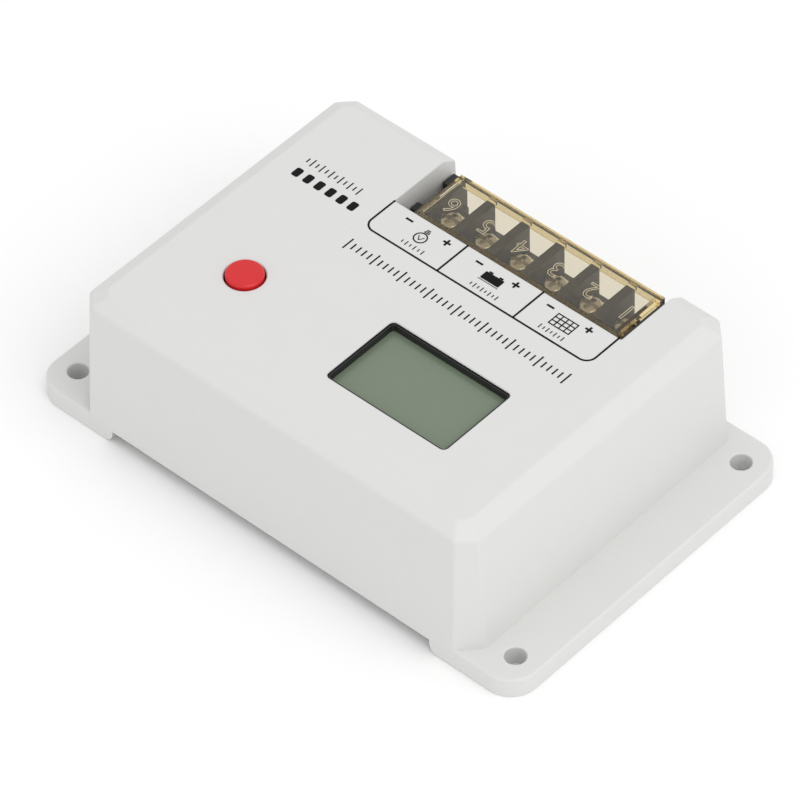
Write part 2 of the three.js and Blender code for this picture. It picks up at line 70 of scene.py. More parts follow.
# Inside the case: posts of the circuit board, bosses of the back plate, and the sleeve of the button.
POST = {"x": 46, "y": (-33, 30), "radius": 3}
BOSS = {"x": 38, "y": 36.3, "radius": 3.2, "z": (5.3, 12.5), "web_end": 40.9}
PILOT_RADIUS = 1.25
SLEEVE = {"radius": 7.2, "bore": 5.9, "low": 28, "high": 35.4, "bore_high": 34.9}
BUTTON_HOLE_RADIUS = 4.45
WINDOW = {"half": (16.1, 10.3), "corner": 1.2}
RECESS = {"half": (19.8, 14), "z": (33.9, 36.6)}
FOOT_HOLE = {"x": 60.7, "y": 35.2, "radius": 2.3}

# A terminal screw: its seat on the washer, and the thread below it.
SCREW = {"seat": 30.0, "core": 1.25, "crest": 1.5, "turns": 9}
SCREW_SLOT = {"long": (2.3, 0.5), "short": (0.5, 1.7), "z": (30.8, 34)}
WASHER = {"corner": 0.5, "bore": 1.9, "groove": (2.45, 2.75), "groove_depth": 0.15}


# ---- Small geometry helpers ----
def box_mm(node):
    """The lowest and highest corner of a CAD node, in millimetres."""
    low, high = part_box(node)
    return low / MM, high / MM


def middle(node):
    low, high = box_mm(node)
    return (low + high) / 2


def rounded_path(points, radii, steps=6, closed=False):
    """A 2D path with each corner replaced by an arc of the given radius."""
    path = []
    count = len(points)
    for index, point in enumerate(points):
        here = Vector(point)
        radius = radii[index] if hasattr(radii, "__len__") else radii
        if radius <= 0 or (not closed and index in (0, count - 1)):
            path.append(tuple(here))
            continue
        before = (Vector(points[index - 1]) - here).normalized()
        after = (Vector(points[(index + 1) % count]) - here).normalized()
        half_angle = before.angle(after) / 2
        reach = radius / math.tan(half_angle)
        centre = here + (before + after).normalized() * (radius / math.sin(half_angle))
        start = here + before * reach - centre
        end = here + after * reach - centre
        turn = start.angle_signed(end)
        for step in range(steps + 1):
            path.append(tuple(centre + Matrix.Rotation(-turn * step / steps, 2) @ start))
    return path


def link(name, mesh):
    obj = bpy.data.objects.new(name, mesh)
    bpy.context.scene.collection.objects.link(obj)
    return obj


def mesh_from(name, vertices, faces):
    """An object from vertices in millimetres, with its faces turned outwards."""
    mesh = bpy.data.meshes.new(name)
    mesh.from_pydata([Vector(v) * MM for v in vertices], [], faces)
    work = bmesh.new()
    work.from_mesh(mesh)
    bmesh.ops.recalc_face_normals(work, faces=work.faces)
    work.to_mesh(mesh)
    work.free()
    return link(name, mesh)


def loft(name, rings):
    """A closed body through rings that have the same number of points, with flat ends."""
    count = len(rings[0])
    vertices = [point for ring in rings for point in ring]
    faces = [list(range(count))[::-1], [len(vertices) - count + i for i in range(count)]]
    for level in range(len(rings) - 1):
        low = level * count
        high = low + count
        for i in range(count):
            j = (i + 1) % count
            faces.append([low + i, low + j, high + j, high + i])
    return mesh_from(name, vertices, faces)


def extruded(name, outline, z0, z1):
    return loft(name, [[(x, y, z) for x, y in outline] for z in (z0, z1)])


def rectangle(x0, x1, y0, y1, radius=0.0, steps=6):
    return rounded_path([(x0, y0), (x1, y0), (x1, y1), (x0, y1)], radius, steps, closed=True)


def circle(x, y, radius, sides=48):
    angles = [2 * math.pi * i / sides for i in range(sides)]
    return [(x + radius * math.cos(a), y + radius * math.sin(a)) for a in angles]


def block(name, x, y, z):
    return extruded(name, rectangle(*sorted(x), *sorted(y)), *z)


def turned(name, profile, x, y, sides=64):
    """A turned body from (radius, height) points that start and end on the axis."""
    inner = profile[1:-1]
    vertices = [(x, y, profile[0][1])]
    for radius, z in inner:
        vertices += [(px, py, z) for px, py in circle(x, y, radius, sides)]
    vertices.append((x, y, profile[-1][1]))
    faces = []
    for i in range(sides):
        j = (i + 1) % sides
        faces.append([0, 1 + j, 1 + i])
        for level in range(len(inner) - 1):
            a = 1 + level * sides
            b = a + sides
            faces.append([a + i, a + j, b + j, b + i])
        top = 1 + (len(inner) - 1) * sides
        faces.append([top + i, top + j, len(vertices) - 1])
    return mesh_from(name, vertices, faces)


def bake_modifiers(obj):
    """Applies every modifier of an object to its mesh."""
    graph = bpy.context.evaluated_depsgraph_get()
    mesh = bpy.data.meshes.new_from_object(obj.evaluated_get(graph))
    obj.modifiers.clear()
    old = obj.data
    obj.data = mesh
    bpy.data.meshes.remove(old)
    return obj


def combine(obj, others, operation):
    """Joins the other bodies to obj, or cuts them from it, and removes them."""
    for other in others:
        modifier = obj.modifiers.new("combine", "BOOLEAN")
        modifier.operation = operation
        modifier.solver = "EXACT"
        modifier.object = other
        bake_modifiers(obj)
        bpy.data.objects.remove(other)
    return obj


def cut(obj, *tools):
    return combine(obj, tools, "DIFFERENCE")


def join(obj, *others):
    return combine(obj, others, "UNION")


def tidy_faces(obj):
    """Merges flat neighbours into single faces."""
    work = bmesh.new()
    work.from_mesh(obj.data)
    bmesh.ops.remove_doubles(work, verts=work.verts, dist=1e-6)
    bmesh.ops.dissolve_limit(work, angle_limit=math.radians(0.5), verts=work.verts, edges=work.edges)
    work.to_mesh(obj.data)
    work.free()
    return obj


def soften(obj, width, segments=3, angle=35, sharp=32, where=None):
    """Rounds the sharp edges of a body, or only those that `where` picks, and keeps flat faces flat."""
    bevel = obj.modifiers.new("soft edges", "BEVEL")
    bevel.width = width * MM
    bevel.segments = segments
    bevel.limit_method = "ANGLE"
    bevel.angle_limit = math.radians(angle)
    bevel.use_clamp_overlap = False
    if where:
        bevel.limit_method = "WEIGHT"
        weights = obj.data.attributes.new("bevel_weight_edge", "FLOAT", "EDGE")
        work = bmesh.new()
        work.from_mesh(obj.data)
        for edge in work.edges:
            middle_point = (edge.verts[0].co + edge.verts[1].co) / 2 / MM
            if edge.calc_face_angle(0) > math.radians(angle) and where(middle_point):
                weights.data[edge.index].value = 1
        work.free()
    bake_modifiers(obj)
    return smooth(obj, sharp)


def smooth(obj, sharp=32):
    obj.data.polygons.foreach_set("use_smooth", [True] * len(obj.data.polygons))
    obj.data.set_sharp_from_angle(angle=math.radians(sharp))
    weighted = obj.modifiers.new("face weights", "WEIGHTED_NORMAL")
    weighted.keep_sharp = True
    weighted.weight = 80
    return obj


def piece(obj, material, body, slot, *nodes):
    """Gives a finished body its material and its place in the frame."""
    obj.data.materials.clear()
    obj.data.materials.append(material)
    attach(obj, body)
    if nodes:
        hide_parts(*nodes)
    return obj


# ---- Materials ----
def surface(name, color, roughness, metallic=0.0, grain=(1800, 0.05), mottle=0.02, scratch=0.0,
            stretch=WHITE):
    """A shader with faint colour variation, uneven gloss and a fine relief of its own scale."""
    material = bpy.data.materials.new(name)
    material.use_nodes = True
    tree = material.node_tree
    shader = tree.nodes["Principled BSDF"]
    shader.inputs["Metallic"].default_value = metallic
    place = tree.nodes.new("ShaderNodeTexCoord")
    scale = tree.nodes.new("ShaderNodeMapping")
    scale.inputs["Scale"].default_value = stretch
    tree.links.new(place.outputs["Object"], scale.inputs["Vector"])

    def noise(size, detail):
        node = tree.nodes.new("ShaderNodeTexNoise")
        node.inputs["Scale"].default_value = size
        node.inputs["Detail"].default_value = detail
        tree.links.new(scale.outputs["Vector"], node.inputs["Vector"])
        return node.outputs["Fac"]

    def spread(source, low, high):
        node = tree.nodes.new("ShaderNodeMapRange")
        node.inputs["From Min"].default_value = 0.3
        node.inputs["From Max"].default_value = 0.7
        node.inputs["To Min"].default_value = low
        node.inputs["To Max"].default_value = high
        tree.links.new(source, node.inputs["Value"])
        return node.outputs["Result"]

    shade = tree.nodes.new("ShaderNodeMix")
    shade.data_type = "RGBA"
    shade.inputs["A"].default_value = (*[c * (1 - mottle) for c in color], 1)
    shade.inputs["B"].default_value = (*[min(1.0, c * (1 + mottle)) for c in color], 1)
    tree.links.new(noise(140, 4), shade.inputs["Factor"])
    tree.links.new(shade.outputs["Result"], shader.inputs["Base Color"])
    uneven = 0.06 + scratch
    gloss = spread(noise(420, 6), max(0.02, roughness - uneven), min(1.0, roughness + uneven))
    tree.links.new(gloss, shader.inputs["Roughness"])
    relief = tree.nodes.new("ShaderNodeBump")
    relief.inputs["Strength"].default_value = grain[1]
    relief.inputs["Distance"].default_value = 0.00005
    tree.links.new(noise(grain[0], 3), relief.inputs["Height"])
    tree.links.new(relief.outputs["Normal"], shader.inputs["Normal"])
    return material


def amber_plastic(name, tint, clearness, depth_color, density):
    """Clear amber plastic that darkens with its thickness."""
    material = surface(name, tint, 0.02, grain=(900, 0.01), mottle=0.004, scratch=-0.045)
    tree = material.node_tree
    shader = tree.nodes["Principled BSDF"]
    shader.inputs["Transmission Weight"].default_value = clearness
    shader.inputs["IOR"].default_value = 1.49
    depth = tree.nodes.new("ShaderNodeVolumeAbsorption")
    depth.inputs["Color"].default_value = (*depth_color, 1)
    depth.inputs["Density"].default_value = density
    tree.links.new(depth.outputs["Volume"], tree.nodes["Material Output"].inputs["Volume"])
    return material


WHITE_ABS = surface("white abs", (0.684, 0.682, 0.670), 0.5, grain=(2600, 0.16), mottle=0.012)
BLACK_BLOCK = surface("black block", (0.022, 0.022, 0.023), 0.42, grain=(1500, 0.12), mottle=0.15)
AMBER = amber_plastic("amber plate", (0.84, 0.81, 0.74), 0.975, (0.84, 0.70, 0.3), 260)
# The rim's deeper, more golden amber is painted shade: the same plastic as the plate, tinted to stand in for
# light running along the walls.
AMBER_RIM_PAINTED_SHADE = amber_plastic("amber rim painted shade", (1.0, 0.93, 0.70), 0.985, (0.80, 0.62, 0.2), 300)
# The numerals are clear amber on the real cover; this opaque light cream is a painted highlight that stands
# in for the light their edges catch.
RELIEF_PAINTED_HIGHLIGHT = surface("amber relief painted highlight", (0.86, 0.75, 0.50), 0.12, grain=(900, 0.05), mottle=0.02)
PLATED = surface("bright plating", (0.52, 0.49, 0.44), 0.16, metallic=1.0, grain=(900, 0.2), scratch=0.06)
TINNED = surface("tinned brass", (0.70, 0.62, 0.42), 0.34, metallic=1.0, grain=(900, 0.2), mottle=0.06)
BLACK_BEZEL = surface("black bezel", (0.012, 0.012, 0.013), 0.38, grain=(2200, 0.1), mottle=0.1)
DISPLAY = surface("display film", (0.172, 0.215, 0.153), 0.2, grain=(700, 0.015), mottle=0.02)
GLASS_EDGE = surface("display glass", (0.30, 0.36, 0.30), 0.08, grain=(700, 0.01), mottle=0.02)
LIGHT_GUIDE = surface("light guide", (0.78, 0.84, 0.74), 0.3, grain=(600, 0.05))
RED_ABS = surface("red abs", (0.64, 0.012, 0.016), 0.26, grain=(2400, 0.06), mottle=0.03)
INK = surface("printed ink", (0.006, 0.006, 0.007), 0.6, grain=(3000, 0.1), mottle=0.1)
INK.node_tree.nodes["Principled BSDF"].inputs["Specular IOR Level"].default_value = 0.12
COMPONENT = surface("component body", (0.03, 0.03, 0.032), 0.5, grain=(1400, 0.25), mottle=0.12)
LAMINATE = surface("solder mask", (0.022, 0.12, 0.05), 0.3, grain=(500, 0.1), mottle=0.2)
ALUMINIUM = surface("brushed aluminium", (0.70, 0.71, 0.72), 0.36, metallic=1.0, grain=(900, 0.25),
                    mottle=0.05, scratch=0.08, stretch=(0.06, 1.0, 1.0))
CAN_SLEEVE = surface("shrink sleeve", (0.02, 0.035, 0.09), 0.25, grain=(700, 0.12), mottle=0.1)
COPPER = surface("copper", (0.72, 0.33, 0.17), 0.3, metallic=1.0, grain=(1500, 0.2), mottle=0.1)


# ---- Camera, floor and light ----
CAMERA = {"azimuth": 223.036, "elevation": 46.064, "roll": 1.579, "distance": 1.2901, "lens": 282.45}
AIM = Vector((0.0, 0.0, 0.020))
AIM_OFFSET = (-0.00113, -0.00713)  # right and up in the picture
WORLD_STRENGTH = 0.85
KEY_POWER = 9.6
FILL_POWER = 1.2
LIGHT_SIZE = 1.6
FLOOR_RADIUS = 4000
FLOOR_COLOR = (0.955, 0.955, 0.955)


def camera():
    turn, lift, roll = (math.radians(CAMERA[key]) for key in ("azimuth", "elevation", "roll"))
    back = Vector((math.sin(turn) * math.cos(lift), -math.cos(turn) * math.cos(lift), math.sin(lift)))
    level = Vector((math.cos(turn), math.sin(turn), 0))
    upright = back.cross(level)
    right = level * math.cos(roll) - upright * math.sin(roll)
    up = level * math.sin(roll) + upright * math.cos(roll)
    data = bpy.data.cameras.new("camera")
    data.sensor_width = 36
    data.lens = CAMERA["lens"]
    data.clip_start = 0.1
    data.clip_end = 50
    obj = bpy.data.objects.new("camera", data)
    bpy.context.scene.collection.objects.link(obj)
    place = AIM + back * CAMERA["distance"] + right * AIM_OFFSET[0] + up * AIM_OFFSET[1]
    turned_axes = Matrix((right, up, back)).transposed().to_4x4()
    obj.matrix_world = Matrix.Translation(place) @ turned_axes
    bpy.context.scene.camera = obj


def soft_light(name, place, size, power):
    data = bpy.data.lights.new(name, "AREA")
    data.shape = "DISK"
    data.size = size
    data.energy = power
    obj = bpy.data.objects.new(name, data)
    bpy.context.scene.collection.objects.link(obj)
    obj.location = place
    obj.rotation_euler = (AIM - Vector(place)).to_track_quat("-Z", "Y").to_euler()


def stage():
    floor = extruded("floor", circle(0, 0, FLOOR_RADIUS, 96), -20, 0)
    floor.data.materials.append(surface("pale floor", FLOOR_COLOR, 0.9, grain=(300, 0.02), mottle=0.002))
    world = bpy.data.worlds.new("studio")
    world.use_nodes = True
    background = world.node_tree.nodes["Background"]
    background.inputs["Color"].default_value = (1, 1, 1, 1)
    background.inputs["Strength"].default_value = WORLD_STRENGTH
    bpy.context.scene.world = world
    soft_light("key", (-1.0, 0.1, 1.4), LIGHT_SIZE, KEY_POWER)
    soft_light("fill", (0.2, 1.5, 1.0), LIGHT_SIZE, FILL_POWER)
    bpy.context.scene.view_settings.view_transform = "Standard"
    bpy.context.scene.view_settings.look = "None"


# ---- The case ----
def wall_ring(inset, z, corner=1.2):
    """The case's outline at an inset: a rectangle with cut corners, every corner rounded."""
    leg = CORNER_LEG[0][1]
    for (inset0, leg0), (inset1, leg1) in zip(CORNER_LEG, CORNER_LEG[1:]):
        if inset > inset0:
            share = min(1.0, (inset - inset0) / (inset1 - inset0))
            leg = leg0 + (leg1 - leg0) * share
    a = CASE_HALF[0] - inset
    b = CASE_HALF[1] - inset * WIDTH_SHARE
    points = [(a, -b + leg), (a, b - leg), (a - leg, b), (-a + leg, b),
              (-a, b - leg), (-a, -b + leg), (-a + leg, -b), (a - leg, -b)]
    return [(x, y, z) for x, y in rounded_path(points, corner, 4, closed=True)]


def case_body():
    section = rounded_path(
        [(0.9, SKIRT_Z), (0, SKIRT_Z), SHOULDER, (TOP_EDGE, CASE_TOP), (TOP_EDGE + 3, CASE_TOP)],
        [0, 0.5, 1.5, 1.5, 0], 7,
    )
    return loft("housing", [wall_ring(inset, z) for inset, z in section])


def case_cavity():
    low = [(WALL, 2.0), (WALL, FOOT["top"] + 1)]
    high = [(SHOULDER[0] + WALL, SHOULDER[1] - 1.4), (TOP_EDGE + WALL, CASE_TOP - WALL)]
    return loft("cavity", [wall_ring(inset, z, 0.6) for inset, z in low + high])


def foot(side):
    """A mounting foot: a flat plate with round outer corners and a round heel under the case."""
    edge = rounded_path([(1, 0), (0, 0), (0, FOOT["top"]), (1, FOOT["top"])], [0, 0.4, 0.6, 0], 5)
    edge += [(0.0, FOOT["heel"] * step / 12) for step in range(2, 13)]
    edge.sort(key=lambda place: place[1])
    edge = edge[1:-1]
    rings = []
    for inset, z in edge:
        drop = max(0.0, FOOT["heel"] - z)
        inner = FOOT["inner"] + FOOT["heel"] - math.sqrt(FOOT["heel"] ** 2 - drop ** 2)
        outer = FOOT["outer"] - inset
        half = FOOT["half"] - inset
        corners = [(inner, -half), (outer, -half), (outer, half), (inner, half)]
        radii = [0, FOOT["corner"] - inset, FOOT["corner"] - inset, 0]
        rings.append([(side * x, y, z) for x, y in rounded_path(corners, radii, 12, closed=True)])
    return loft("foot", rings)


def notch_cutter(grow, top):
    x0, x1 = NOTCH["x"]
    return block("notch", (x0 - grow, x1 + grow), (-60, NOTCH["back"] + grow), (NOTCH["sill"], top))


def add_posts(body):
    """The posts that hold the circuit board, each with a pilot hole."""
    board_top = box_mm("circuit_board")[1].z
    radius = POST["radius"]
    for x in (-POST["x"], POST["x"]):
        for y in POST["y"]:
            join(body, extruded("post", circle(x, y, radius, 32), board_top + 0.3, CASE_TOP - WALL + 0.6))
            cut(body, extruded("pilot", circle(x, y, PILOT_RADIUS, 24), board_top - 1, board_top + 8))


def add_bosses(body):
    """The bosses that hold the back plate, each tied to the long wall by a web."""
    radius = BOSS["radius"]
    for x in (-BOSS["x"], BOSS["x"]):
        for y in (-BOSS["y"], BOSS["y"]):
            side = math.copysign(1, y)
            boss = extruded("boss", circle(x, y, radius, 32), *BOSS["z"])
            web = block("web", (x - radius, x + radius), (y, side * BOSS["web_end"]), BOSS["z"])
            join(body, join(boss, web))
            cut(body, extruded("pilot", circle(x, y, PILOT_RADIUS, 24), 4, 11.5))


def add_sleeve(body, button_place):
    sleeve = extruded("sleeve", circle(*button_place, SLEEVE["radius"], 48), SLEEVE["low"], SLEEVE["high"])
    bore = extruded("bore", circle(*button_place, SLEEVE["bore"], 48), SLEEVE["low"] - 1, SLEEVE["bore_high"])
    join(body, cut(sleeve, bore))


def cut_window(body):
    """The window in the front, and the recess behind it that takes the display's surround."""
    low, high = box_mm("lcd_frame")
    x = (low.x + high.x) / 2
    y = (low.y + high.y) / 2
    half_x, half_y = WINDOW["half"]
    opening = rectangle(x - half_x, x + half_x, y - half_y, y + half_y, WINDOW["corner"])
    cut(body, extruded("window", opening, 30, 50))
    half_x, half_y = RECESS["half"]
    cut(body, block("recess", (x - half_x, x + half_x), (y - half_y, y + half_y), RECESS["z"]))


def housing():
    body = join(case_body(), foot(-1), foot(1))
    cut(body, cut(case_cavity(), notch_cutter(NOTCH["wall"], 50)))
    low, high = box_mm("button_cap")
    button_place = ((low.x + high.x) / 2, (low.y + high.y) / 2)
    add_posts(body)
    add_bosses(body)
    add_sleeve(body, button_place)
    cut(body, notch_cutter(0, 50))
    cut_window(body)
    cut(body, extruded("button hole", circle(*button_place, BUTTON_HOLE_RADIUS, 64), 30, 50))
    for x in (-FOOT_HOLE["x"], FOOT_HOLE["x"]):
        for y in (-FOOT_HOLE["y"], FOOT_HOLE["y"]):
            cut(body, extruded("foot hole", circle(x, y, FOOT_HOLE["radius"], 40), -5, 20))

    def above_feet_or_at_hole(place):
        from_hole = math.hypot(abs(place.x) - FOOT_HOLE["x"], abs(place.y) - FOOT_HOLE["y"])
        return place.z > FOOT["top"] + 1 or from_hole < FOOT_HOLE["radius"] + 0.1

    soften(tidy_faces(body), 0.4, where=above_feet_or_at_hole)
    return piece(body, WHITE_ABS, "root", "housing_abs", "housing")


# ---- CAD nodes that keep their shape ----
def refine(node, material, width=0.15, segments=2):
    """A new material, merged flat faces and softly rounded edges for a CAD node."""
    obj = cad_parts[node]
    obj.data.materials.clear()
    obj.data.materials.append(material)
    merge = obj.modifiers.new("merge flat faces", "DECIMATE")
    merge.decimate_type = "DISSOLVE"
    merge.angle_limit = math.radians(0.5)
    if width:
        bevel = obj.modifiers.new("soft edges", "BEVEL")
        bevel.width = width * MM
        bevel.segments = segments
        bevel.limit_method = "ANGLE"
        bevel.angle_limit = math.radians(38)
    obj.data.polygons.foreach_set("use_smooth", [True] * len(obj.data.polygons))
    obj.data.set_sharp_from_angle(angle=math.radians(40))
    weighted = obj.modifiers.new("face weights", "WEIGHTED_NORMAL")
    weighted.keep_sharp = True


# ---- Terminals ----
def digit_relief(way, x, y, z):
    """The raised edge lines of a numeral on the cover, in an opaque light cream that is a painted highlight
    for the light their clear amber edges catch.
    """
    curve = bpy.data.curves.new("digit", "FONT")
    curve.body = str(way)
    curve.size = COVER_DIGIT_HEIGHT * MM * 1.4
    curve.align_x = "CENTER"
    curve.align_y = "CENTER"
    curve.fill_mode = "NONE"
    curve.offset = DIGIT_THINNING * MM
    curve.bevel_depth = DIGIT_EDGE * MM
    curve.bevel_resolution = 2
    curve.resolution_u = 5
    holder = link("digit", curve)
    holder.location = Vector((x, y, z)) * MM
    bpy.context.view_layer.update()
    graph = bpy.context.evaluated_depsgraph_get()
    mesh = bpy.data.meshes.new_from_object(holder.evaluated_get(graph))
    mesh.transform(holder.matrix_world)
    bpy.data.objects.remove(holder)
    obj = smooth(link(f"terminal_cover.digit_{way}", mesh), 60)
    return piece(obj, RELIEF_PAINTED_HIGHLIGHT, "terminal_cover", "cover_amber")


def terminal_cover():
    """A clear plate held in a frame of walls; the walls get a deeper, more golden amber than the plate,
    painted shade that stands in for the light running along them.
    """
    low, high = box_mm("terminal_cover")
    under = high.z - COVER["top"]
    inner_x = (low.x + COVER["left"], high.x - COVER["right"])
    inner_y = (low.y + COVER["front"], high.y - COVER["back"])
    rim = block("terminal_cover.rim", (low.x, high.x), (low.y, high.y), (low.z, high.z))
    cut(rim, block("inside", inner_x, inner_y, (low.z - 1, high.z + 1)))
    cut(rim, block("underside", (inner_x[1] - 0.5, high.x + 1), inner_y, (low.z - 1, COVER["right_z"])))
    behind_front = (inner_y[0], high.y + 1)
    cut(rim, block("back_underside", (low.x - 1, high.x + 1), behind_front, (low.z - 1, COVER["side_z"])))
    centres = [middle(f"terminal_screw_{way}") for way in WAYS]
    rib_y = (inner_y[0] - 0.2, inner_y[0] + COVER_RIB["out"])
    rib_z = (COVER_RIB["low"], under - 0.05)
    for left, right in zip(centres, centres[1:]):
        x = (left.x + right.x) / 2
        join(rim, block("rib", (x - COVER_RIB["half"], x + COVER_RIB["half"]), rib_y, rib_z))
    soften(tidy_faces(rim), 0.08, 2)
    piece(rim, AMBER_RIM_PAINTED_SHADE, "terminal_cover", "cover_amber", "terminal_cover")
    plate = block("terminal_cover.plate", (inner_x[0] + COVER_GAP, inner_x[1] - COVER_GAP),
                  (inner_y[0] + COVER_GAP, inner_y[1] - COVER_GAP), (under, high.z - 0.02))
    soften(plate, 0.02, 1)
    piece(plate, AMBER, "terminal_cover", "cover_amber")
    for way, centre in zip(WAYS, centres):
        digit_relief(way, centre.x, (low.y + high.y) / 2 + 0.4, high.z)


def terminal_screw(way):
    low, high = box_mm(f"terminal_screw_{way}")
    x = (low.x + high.x) / 2
    y = (low.y + high.y) / 2
    seat = SCREW["seat"]
    core = SCREW["core"]
    corners = [(2.85, seat), (2.85, 31.0), (2.35, 31.9), (0.6, high.z), (0, high.z)]
    head = rounded_path(corners, [0, 0.25, 0.9, 0, 0], 5)
    shank = [(0, low.z), (0.9, low.z), (core, low.z + 0.4)]
    thread_pitch = (seat - 0.6 - low.z - 0.4) / SCREW["turns"]
    for turn in range(SCREW["turns"]):
        z = low.z + 0.4 + turn * thread_pitch
        shank += [(core, z + 0.1), (SCREW["crest"], z + thread_pitch / 2), (core, z + thread_pitch - 0.1)]
    neck = [(core, seat - 0.2), (1.45, seat)]
    body = turned(f"terminal_screw_{way}.head", shank + neck + head, x, y, 40)
    for name in ("long", "short"):
        half_x, half_y = SCREW_SLOT[name]
        cut(body, block(name, (x - half_x, x + half_x), (y - half_y, y + half_y), SCREW_SLOT["z"]))
    soften(tidy_faces(body), 0.07, 2, angle=50, sharp=38)
    return piece(body, PLATED, f"screw_{way}", "plated_steel", f"terminal_screw_{way}")


def clamp_washer(way):
    """A square washer with two pressed lines that grip the wire."""
    low, high = box_mm(f"clamp_washer_{way}")
    x = (low.x + high.x) / 2
    y = (low.y + high.y) / 2
    outline = rectangle(low.x, high.x, low.y, high.y, WASHER["corner"])
    body = extruded(f"clamp_washer_{way}.plate", outline, low.z, high.z)
    cut(body, extruded("bore", circle(x, y, WASHER["bore"], 32), low.z - 1, high.z + 1))
    near, far = WASHER["groove"]
    for side in (-1, 1):
        groove_y = (y + side * near, y + side * far)
        cut(body, block("groove", (x - 4, x + 4), groove_y, (high.z - WASHER["groove_depth"], high.z + 1)))
    soften(tidy_faces(body), 0.1, 2)
    return piece(body, PLATED, f"clamp_{way}", "plated_steel", f"clamp_washer_{way}")


# ---- Display and button ----
def display():
    low, high = box_mm("lcd_panel")
    edge = high.z - 0.15
    glass = extruded("lcd_panel.glass", rectangle(low.x, high.x, low.y, high.y, 0.3, 3), low.z, edge)
    soften(glass, 0.08, 2)
    piece(glass, GLASS_EDGE, "root", "display_glass", "lcd_panel")
    film = extruded("lcd_panel.film", rectangle(low.x + 0.8, high.x - 0.8, low.y + 0.8, high.y - 0.8, 0.2, 3),
                    edge, high.z)
    soften(film, 0.03, 1)
    piece(film, DISPLAY, "root", "display_glass")


def button():
    low, high = box_mm("button_cap")
    x = (low.x + high.x) / 2
    y = (low.y + high.y) / 2
    flange = (high.x - low.x) / 2
    cap = 4.1
    section = rounded_path(
        [(0, low.z), (2.2, low.z), (2.2, 32.6), (flange, 32.6), (flange, 34.2),
         (cap, 34.2), (cap, high.z), (0.6, high.z - 0.06), (0, high.z - 0.06)],
        [0, 0.3, 0.3, 0.2, 0.2, 0.2, 0.55, 0, 0], 7,
    )
    body = smooth(turned("button_cap.face", section, x, y, 96), 40)
    return piece(body, RED_ABS, "button", "button_red", "button_cap")


# ---- Print on the front ----
PRINT_Z = CASE_TOP
PRINT_THICK = 0.04
PRINT_SUNK = 0.01
PRINT_LINE = 0.45


def strip(path, width, closed=False):
    """The outline pairs of a line of even width along a path."""
    left = []
    right = []
    count = len(path)
    for index, point in enumerate(path):
        here = Vector(point)
        before = Vector(path[index - 1]) if index or closed else here
        after = Vector(path[(index + 1) % count]) if index < count - 1 or closed else here
        along = (after - before).normalized()
        across = Vector((-along.y, along.x)) * width / 2
        left.append(tuple(here + across))
        right.append(tuple(here - across))
    return left, right


class Print:
    """Collects flat printed shapes into one thin mesh."""

    def __init__(self):
        self.vertices = []
        self.faces = []

    def polygon(self, points):
        base = len(self.vertices)
        count = len(points)
        for z in (PRINT_Z - PRINT_SUNK, PRINT_Z + PRINT_THICK):
            self.vertices += [(x, y, z) for x, y in points]
        self.faces.append([base + i for i in range(count)][::-1])
        self.faces.append([base + count + i for i in range(count)])
        for i in range(count):
            j = (i + 1) % count
            self.faces.append([base + i, base + j, base + count + j, base + count + i])

    def line(self, path, width=PRINT_LINE, closed=False):
        left, right = strip(path, width, closed)
        if not closed:
            self.polygon(left + right[::-1])
            return
        base = len(self.vertices)
        count = len(path)
        for side in (left, right):
            for z in (PRINT_Z - PRINT_SUNK, PRINT_Z + PRINT_THICK):
                self.vertices += [(x, y, z) for x, y in side]
        low_left, high_left, low_right, high_right = (base + count * k for k in range(4))
        for i in range(count):
            j = (i + 1) % count
            self.faces.append([high_left + i, high_left + j, high_right + j, high_right + i])
            self.faces.append([low_left + i, low_right + i, low_right + j, low_left + j])
            self.faces.append([low_left + i, low_left + j, high_left + j, high_left + i])
            self.faces.append([low_right + i, high_right + i, high_right + j, low_right + j])

    def bar(self, x, y, length, width):
        self.polygon(rectangle(x - length / 2, x + length / 2, y - width / 2, y + width / 2))

    def ticks(self, x0, x1, y, count, heights, width):
        for index in range(count):
            x = x0 + (x1 - x0) * index / (count - 1)
            self.bar(x, y, width, heights[index % len(heights)])

    def finish(self, name):
        obj = mesh_from(name, self.vertices, self.faces)
        return piece(obj, INK, "root", "bezel_black")


FIELD = {"left": -39.1, "right": 21.9, "edge": -21.75, "base": -12.0, "round": 2.4, "dividers": (-18.9, 1.7)}
MARK_PAIRS = ((15.8, 5.5), (-3.4, -13.3), (-22.7, -33.0))  # x of each cell's minus and plus
MARK_Y = -19.4
MARK = 1.9
MARK_ARM = 0.5
CAPTION_Y = -13.9
CAPTIONS = ((7.4, 12.9, 6), (-12.8, -5.9, 8), (-30.6, -24.6, 7))  # ends in x, and number of ticks
BULB = {"x": 10.6, "y": -16.9, "radius": 1.45}
BATTERY = {"x": (-11.0, -6.1), "y": (-18.6, -16.4), "posts": (-9.9, -7.2)}
PANEL = {"x": (-30.6, -25.3), "y": (-19.0, -15.7), "line": 0.28}
SCALE_Y = -6.0
PIPS = {"x": 27.4, "pitch": 3.1, "half": 0.9, "y": (-16.0, -13.4)}


def printed_fields():
    ink = Print()
    outline = [(FIELD["right"], FIELD["edge"]), (FIELD["right"], FIELD["base"]),
               (FIELD["left"], FIELD["base"]), (FIELD["left"], FIELD["edge"])]
    ink.line(rounded_path(outline, FIELD["round"], 10))
    for x in FIELD["dividers"]:
        ink.line([(x, FIELD["edge"]), (x, FIELD["base"])])
    return ink.finish("print_fields")


